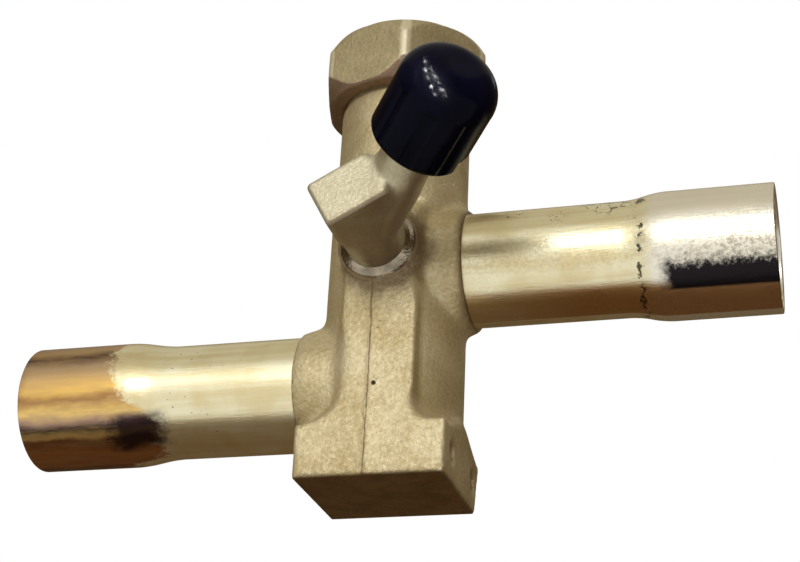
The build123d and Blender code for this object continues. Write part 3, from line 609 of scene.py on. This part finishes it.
def upper_tube_metal(finishes):
    """The upper tube: a ragged burnt ring where the swage starts, black low on the swage and orange
    brown along the bottom, both partly painted reflections.
    """
    r = tube_metal("upper_tube_brass", finishes)
    x = r.split()[0]
    angle = r.round_angle(UPPER_AXIS_Z)
    black = tuple(finishes.scorch_and_reflection_black)
    silver = (0.87, 0.83, 0.73)
    on_swage = r.band(r.sum("MULTIPLY_ADD", r.noise(0.4, 3.0), 3.0, x), 50.2, 53.2)
    base = r.mix(r.sum("MULTIPLY", on_swage, 0.75), r.base, silver)
    # mottled scale across the middle of the swage, which also darkens it as painted shade where the
    # lamp's highlight falls
    scale = r.band(r.noise(1.3, 5.0, 0.75), 0.45, 0.57)
    middle = r.band(r.sum("ABSOLUTE", r.sum("SUBTRACT", angle, 0.285)), 0.085, 0.02)
    scale = r.sum("MULTIPLY", scale, r.sum("MULTIPLY", middle, r.band(x, 51.0, 66.0, 0.35, 1.0)))
    base = r.mix(r.sum("MULTIPLY", scale, 0.6), base, (0.25, 0.19, 0.11))
    # black band low on the front of the swage: heat tint together with a painted reflection of
    # something dark
    wander = r.noise(0.45, 5.0, 0.7)
    low = r.sum("MULTIPLY_ADD", r.sum("SUBTRACT", wander, 0.5), 0.05, angle)
    fuzz = r.sum("MULTIPLY_ADD", r.sum("SUBTRACT", r.noise(1.5, 5.0, 0.8), 0.5), 0.075, low)
    band = r.sum("MULTIPLY", r.band(fuzz, 0.318, 0.352), r.band(angle, 0.411, 0.402))
    end = r.band(r.sum("MULTIPLY_ADD", wander, 5.0, x), 53.5, 57.0)
    # orange brown along the bottom, fading towards the body: heat tint together with a painted
    # reflection of a brown surface below
    low = r.band(angle, 0.375, 0.405)
    high = r.band(angle, 0.62, 0.56)
    under = r.sum("MULTIPLY", r.sum("MULTIPLY", low, high), r.band(x, 14.0, 40.0, 0.45, 0.85))
    base = r.mix(under, base, (0.44, 0.20, 0.04))
    base = r.mix(r.sum("MULTIPLY", band, end), base, black)
    # ragged burnt ring at the step
    wave = r.sum("MULTIPLY_ADD", r.noise(0.42, 4.0, 0.7), 5.0, -2.5)
    ring = r.sum("ABSOLUTE", r.sum("ADD", r.sum("SUBTRACT", x, 48.4), wave))
    ring = r.sum("MULTIPLY", r.band(ring, 0.65, 0.15), r.band(r.noise(0.5, 3.0), 0.46, 0.55))
    # crinkled marks before the ring, high on the front
    crinkle = r.cells(0.42, "DISTANCE_TO_EDGE", vector=r.stretched((1.0, 0.8, 0.8)))
    crinkle = r.band(crinkle, 0.075, 0.03)
    patch = r.band(r.distance((42.5, -7.5, 54.5)), 6.0, 3.0)
    crinkle = r.sum("MULTIPLY", crinkle, patch)
    crinkle = r.sum("MULTIPLY", crinkle, r.band(r.noise(0.9, 3.0), 0.44, 0.56))
    # two small patches of marks on the plain tube
    marks = r.band(r.noise(1.7, 4.0, 0.7), 0.57, 0.64)
    here = r.band(r.distance((25.0, -8.6, 52.4)), 3.2, 1.6)
    there = r.band(r.distance((33.5, -9.6, 51.0)), 2.6, 1.2)
    marks = r.sum("MULTIPLY", marks, r.sum("MAXIMUM", here, there))
    dark = r.sum("MAXIMUM", ring, r.sum("MAXIMUM", crinkle, marks))
    base = r.mix(r.sum("MULTIPLY", dark, 0.9), base, black)
    r.set(Base_Color=base)
    height = r.sum("MULTIPLY_ADD", r.fleck, 0.6, r.scratch)
    height = r.sum("SUBTRACT", height, r.sum("MULTIPLY", dark, 1.5))
    r.set(Normal=r.bump(height, 0.04, 0.8))
    return r


def plain(name, base, roughness, metal=0.0, grain=4.0, depth=0.01, vary=0.12, **more):
    """A plain finish with slightly uneven colour and gloss and a fine surface."""
    r = Recipe(name)
    cloud = r.noise(grain * 0.12, 3.0, 0.55)
    darker = tuple(part * (1.0 - vary) for part in base)
    lighter = tuple(min(1.0, part * (1.0 + vary)) for part in base)
    r.set(Base_Color=r.mix(r.band(cloud, 0.3, 0.7), darker, lighter), Metallic=metal,
          Roughness=r.band(cloud, 0.3, 0.7, roughness * 0.88, roughness * 1.12),
          Normal=r.bump(r.noise(grain, 3.0, 0.6), depth, 0.8), **more)
    return r


# ---------------------------------------------------------------------------------------
# operators
# ---------------------------------------------------------------------------------------
class VALVE_OT_body(bpy.types.Operator):
    """Give the forged body its sand texture, stains and parting line"""
    bl_idname = "valve.body"
    bl_label = "Body"

    def execute(self, context):
        finishes = context.scene.valve_finishes
        metal = body_metal(finishes)
        dress(metal, "valve_body")
        body = forged_copy("forged_body", "valve_body", finishes.body_mesh, body_machining, 9, 150, 4,
                           (((10.0, -13.5, 46.0), (7.0, 5.0, 13.0)),
                            ((-8.5, -13.5, 24.0), (6.0, 5.0, 7.0))))
        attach(wear(body, metal), "body")
        return {"FINISHED"}


class VALVE_OT_tubes(bpy.types.Operator):
    """Give both tubes their satin finish, heat tint and painted reflections, and the joints their
    filler
    """
    bl_idname = "valve.tubes"
    bl_label = "Tubes and filler"

    def execute(self, context):
        finishes = context.scene.valve_finishes
        lower_metal, upper_metal = lower_tube_metal(finishes), upper_tube_metal(finishes)
        dress(lower_metal, "lower_tube")
        dress(upper_metal, "upper_tube")
        lower = tube_skin("lower_tube_skin", "lower_tube", LOWER_AXIS_Z, -1, LOWER_SEAT_X,
                          LOWER_END_X, LOWER_SWAGE, LOWER_CONE)
        upper = tube_skin("upper_tube_skin", "upper_tube", UPPER_AXIS_Z, 1, UPPER_SEAT_X,
                          UPPER_END_X, UPPER_SWAGE, UPPER_CONE)
        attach(wear(lower, lower_metal), "body")
        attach(wear(upper, upper_metal), "body")
        filler = plain("braze_filler", finishes.filler, 0.24, 1.0, 1.2, 0.05, 0.18)
        dress(filler, "lower_braze_ring", "upper_braze_ring")
        dress(plain("port_filler", (0.30, 0.25, 0.18), 0.17, 1.0, 1.6, 0.12, 0.45), "access_braze_ring")
        return {"FINISHED"}


class VALVE_OT_hexagon_cap(bpy.types.Operator):
    """Finish the hexagon cap and the washer inside it"""
    bl_idname = "valve.hexagon_cap"
    bl_label = "Hexagon cap"

    def execute(self, context):
        finishes = context.scene.valve_finishes
        metal = forging_metal("hexagon_cap_brass", finishes.cap_pale, finishes.cap_deep, finishes,
                              0.5, 0.46, 0.9, 0.8)
        bright_corners(metal, finishes)
        dress(metal, "stem_cap")
        cap = forged_copy("forged_hexagon_cap", "stem_cap", finishes.cap_mesh, cap_machining, 1, 1, 14)
        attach(wear(cap, metal), "cap")
        dress(plain("fibre_washer", finishes.washer, 0.8), "stem_cap_seal")
        return {"FINISHED"}


class VALVE_OT_port(bpy.types.Operator):
    """Finish the charging port's elbow, its plastic cap and the seal under it"""
    bl_idname = "valve.port"
    bl_label = "Charging port"

    def execute(self, context):
        finishes = context.scene.valve_finishes
        metal = forging_metal("elbow_brass", finishes.elbow_pale, finishes.elbow_deep, finishes,
                              0.5, 0.42, 0.7, 0.35)
        painted_shade_below(metal, finishes)
        spigot_thread(metal, finishes)
        dress(metal, "access_elbow")
        elbow = forged_copy("forged_elbow", "access_elbow", finishes.elbow_mesh, elbow_machining,
                            11, 160, 7)
        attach(wear(elbow, metal), "body")
        black = plain("black_moulded_plastic", finishes.cap_plastic, 0.17, 0.0, 1.1, 0.03, 0.3,
                      Specular_IOR_Level=0.03)
        dress(black, "access_cap")
        dress(plain("seal_rubber", finishes.rubber, 0.55), "access_cap_seal")
        return {"FINISHED"}


class VALVE_OT_stem(bpy.types.Operator):
    """Finish the screw stem with its rings"""
    bl_idname = "valve.stem"
    bl_label = "Stem"

    def execute(self, context):
        finishes = context.scene.valve_finishes
        dress(plain("turned_stem_brass", finishes.machined, 0.26, 1.0, 1.5, 0.02), "valve_stem")
        dress(plain("o_ring_rubber", finishes.rubber, 0.45), "stem_o_ring")
        dress(plain("backup_ring_plastic", finishes.white_seal, 0.4, vary=0.04), "stem_backup_ring")
        dress(plain("retaining_ring_steel", (0.20, 0.20, 0.21), 0.38, 1.0), "stem_retaining_ring")
        return {"FINISHED"}


class VALVE_OT_core(bpy.types.Operator):
    """Finish the pieces of the valve core inside the port"""
    bl_idname = "valve.core"
    bl_label = "Valve core"

    def execute(self, context):
        finishes = context.scene.valve_finishes
        dress(plain("core_brass", finishes.machined, 0.24, 1.0, 3.0), "core_plug", "core_barrel",
              "core_pin")
        dress(plain("core_spring_wire", finishes.spring, 0.22, 1.0), "core_spring")
        dress(plain("core_seal_plastic", finishes.white_seal, 0.4, vary=0.04), "core_barrel_seal")
        dress(plain("core_washer_rubber", finishes.rubber, 0.5), "core_seat_seal")
        return {"FINISHED"}


class VALVE_OT_studio(bpy.types.Operator):
    """Lay the floor, hang the lamps and set the camera"""
    bl_idname = "valve.studio"
    bl_label = "Studio"

    def execute(self, context):
        studio = context.scene.valve_studio
        floor(studio)
        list(cards(studio))
        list(lamps(studio))
        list(glints(studio))
        sky(studio)
        camera(studio)
        return {"FINISHED"}


def show_white(tree, strength):
    """A background that is white where it is seen or mirrored and lights at a lower level."""
    path = tree.nodes.new("ShaderNodeLightPath")
    seen = tree.nodes.new("ShaderNodeMath")
    seen.operation = "MAXIMUM"
    tree.links.new(path.outputs["Is Camera Ray"], seen.inputs[0])
    tree.links.new(path.outputs["Is Glossy Ray"], seen.inputs[1])
    either = tree.nodes.new("ShaderNodeMath")
    either.operation = "MAXIMUM"
    tree.links.new(seen.outputs[0], either.inputs[0])
    tree.links.new(path.outputs["Is Transmission Ray"], either.inputs[1])
    level = tree.nodes.new("ShaderNodeMapRange")
    level.inputs["To Min"].default_value = strength
    level.inputs["To Max"].default_value = 1.0
    tree.links.new(either.outputs[0], level.inputs["Value"])
    return level.outputs[0]


def floor(studio):
    """A pale floor that is solid from above and clear from below."""
    mesh = bpy.data.meshes.new("floor")
    shape = bmesh.new()
    bmesh.ops.create_grid(shape, x_segments=2, y_segments=2, size=studio.floor_size / 2)
    bmesh.ops.translate(shape, verts=shape.verts, vec=(0, 0, -0.0002))
    shape.to_mesh(mesh)
    shape.free()
    plate = bpy.data.objects.new("floor", mesh)
    bpy.context.scene.collection.objects.link(plate)
    material = bpy.data.materials.new("pale_floor")
    material.use_nodes = True
    tree = material.node_tree
    shader = tree.nodes["Principled BSDF"]
    shader.inputs["Base Color"].default_value = (*studio.floor_colour, 1.0)
    shader.inputs["Roughness"].default_value = 0.9
    clear = tree.nodes.new("ShaderNodeBsdfTransparent")
    side = tree.nodes.new("ShaderNodeNewGeometry")
    path = tree.nodes.new("ShaderNodeLightPath")
    white = tree.nodes.new("ShaderNodeEmission")
    white.inputs["Strength"].default_value = studio.floor_mirror
    mirrored = tree.nodes.new("ShaderNodeMixShader")
    tree.links.new(path.outputs["Is Glossy Ray"], mirrored.inputs[0])
    tree.links.new(shader.outputs[0], mirrored.inputs[1])
    tree.links.new(white.outputs[0], mirrored.inputs[2])
    choose = tree.nodes.new("ShaderNodeMixShader")
    tree.links.new(side.outputs["Backfacing"], choose.inputs[0])
    tree.links.new(mirrored.outputs[0], choose.inputs[1])
    tree.links.new(clear.outputs[0], choose.inputs[2])
    tree.links.new(choose.outputs[0], tree.nodes["Material Output"].inputs["Surface"])
    mesh.materials.append(material)
    return plate


def card(name, size, place, aim, glow):
    """A dim card that the metal mirrors, out of the camera's sight and without a shadow."""
    mesh = bpy.data.meshes.new(name)
    shape = bmesh.new()
    bmesh.ops.create_grid(shape, x_segments=1, y_segments=1, size=0.5)
    bmesh.ops.scale(shape, verts=shape.verts, vec=(size[0], size[1], 1.0))
    facing = Vector(aim).to_track_quat("Z", "Y").to_matrix().to_4x4()
    bmesh.ops.transform(shape, verts=shape.verts, matrix=Matrix.Translation(place) @ facing)
    shape.to_mesh(mesh)
    shape.free()
    thing = bpy.data.objects.new(name, mesh)
    bpy.context.scene.collection.objects.link(thing)
    thing.visible_camera = False
    thing.visible_shadow = False
    material = bpy.data.materials.new(name)
    material.use_nodes = True
    tree = material.node_tree
    tree.nodes.remove(tree.nodes["Principled BSDF"])
    shine = tree.nodes.new("ShaderNodeEmission")
    shine.inputs["Color"].default_value = (*glow, 1.0)
    tree.links.new(shine.outputs[0], tree.nodes["Material Output"].inputs["Surface"])
    mesh.materials.append(material)
    return thing


def cards(studio):
    """Dim brown cards on all sides but the front, which keep those sides of the metal dark."""
    low = card("low_card", (1.6, 0.52), (0, 0.242, -0.0001), (0, 0, 1), studio.low_card)
    low.visible_diffuse = False
    return [low,
            card("foot_card", (0.027, 0.024), (0, -0.002, -0.00005), (0, 0, 1), studio.low_card),
            card("top_card", (1.0, 0.9), (0, 0.05, 0.55), (0, 0.1, -1), studio.top_card),
            card("right_card", (0.9, 0.56), (0.36, 0.0, 0.27), (-1, 0, 0), studio.side_card),
            card("left_card", (0.9, 0.56), (-0.40, 0.0, 0.27), (1, 0, 0), studio.side_card),
            card("back_card", (1.6, 0.8), (0, 0.5, 0.39), (0, -1, 0), studio.side_card)]


def lamp(name, power, size, place, aim=(0.0, 0.0, 0.045)):
    data = bpy.data.lights.new(name, "AREA")
    data.shape = "RECTANGLE"
    data.size, data.size_y = size
    data.energy = power
    thing = bpy.data.objects.new(name, data)
    thing.location = place
    thing.rotation_euler = (Vector(aim) - Vector(place)).to_track_quat("-Z", "Y").to_euler()
    bpy.context.scene.collection.objects.link(thing)
    return thing


def lamps(studio):
    """A soft key straight in front and a little above, a fill low down and a lamp behind."""
    return [lamp("key", studio.key_power, (0.34, 0.26), (0.02, -0.85, 0.33)),
            lamp("fill", studio.fill_power, (0.4, 0.3), (-0.45, -0.45, 0.30)),
            lamp("rim", studio.rim_power, (0.4, 0.3), (0.25, 0.55, 0.50))]


def glints(studio):
    """Two even rows of small lamps, which the plastic cap mirrors as points.  They light that
    cap alone.  A row runs between two directions from the cap: degrees round, degrees up."""
    dome = Vector((0.0205, -0.055, 0.054))
    away = 0.11
    size = 0.003
    in_row = 5
    only_the_cap = bpy.data.collections.new("mirrors_the_glints")
    only_the_cap.objects.link(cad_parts["access_cap"])
    hung = []
    for row, (first, last) in enumerate((((-15, 55), (0, -25)), ((5, 40), (25, -25)))):
        for number in range(in_row):
            part = number / (in_row - 1)
            turn, up = (math.radians(a + (b - a) * part) for a, b in zip(first, last))
            way = Vector((math.sin(turn) * math.cos(up), -math.cos(turn) * math.cos(up), math.sin(up)))
            power = studio.glint_power * (1.0 if number % 2 else 0.35)
            thing = lamp("glint_%d_%d" % (row, number), power, (size, size), dome + way * away, dome)
            thing.data.spread = math.radians(50)
            thing.visible_camera = False
            thing.light_linking.receiver_collection = only_the_cap
            hung.append(thing)
    return hung


def sky(studio):
    world = bpy.data.worlds.new("studio")
    bpy.context.scene.world = world
    world.use_nodes = True
    tree = world.node_tree
    back = tree.nodes["Background"]
    back.inputs["Color"].default_value = (1.0, 1.0, 1.0, 1.0)
    tree.links.new(show_white(tree, studio.sky_level), back.inputs["Strength"])


def camera(studio):
    data = bpy.data.cameras.new("camera")
    data.lens = studio.lens
    data.sensor_width = 36.0
    thing = bpy.data.objects.new("camera", data)
    thing.location = (0.082904, -0.279878, -0.096066)
    thing.rotation_euler = tuple(math.radians(part) for part in (115.8124, -2.6248, 15.1768))
    data.clip_start = 0.005
    bpy.context.scene.collection.objects.link(thing)
    bpy.context.scene.camera = thing


class VALVE_PT_panel(bpy.types.Panel):
    """Lists the steps that dress the valve"""
    bl_idname = "VALVE_PT_panel"
    bl_label = "Service Valve"
    bl_space_type = "VIEW_3D"
    bl_region_type = "UI"
    bl_category = "Valve"

    def draw(self, context):
        for step in STEPS:
            self.layout.operator(step.bl_idname)
        finishes = context.scene.valve_finishes
        for name in finishes.__annotations__:
            self.layout.prop(finishes, name)
        studio = context.scene.valve_studio
        for name in studio.__annotations__:
            self.layout.prop(studio, name)


STEPS = (VALVE_OT_body, VALVE_OT_tubes, VALVE_OT_hexagon_cap, VALVE_OT_port, VALVE_OT_stem,
         VALVE_OT_core, VALVE_OT_studio)
CLASSES = (ValveFinishes, ValveStudio, *STEPS, VALVE_PT_panel)


def register():
    for part in CLASSES:
        bpy.utils.register_class(part)
    bpy.types.Scene.valve_finishes = PointerProperty(type=ValveFinishes)
    bpy.types.Scene.valve_studio = PointerProperty(type=ValveStudio)


def unregister():
    del bpy.types.Scene.valve_studio
    del bpy.types.Scene.valve_finishes
    for part in reversed(CLASSES):
        bpy.utils.unregister_class(part)


def main():
    register()
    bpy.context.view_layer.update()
    bpy.context.scene.view_settings.view_transform = "Standard"
    bpy.ops.valve.body()
    bpy.ops.valve.tubes()
    bpy.ops.valve.hexagon_cap()
    bpy.ops.valve.port()
    bpy.ops.valve.stem()
    bpy.ops.valve.core()
    bpy.ops.valve.studio()


if __name__ == "__main__":
    main()
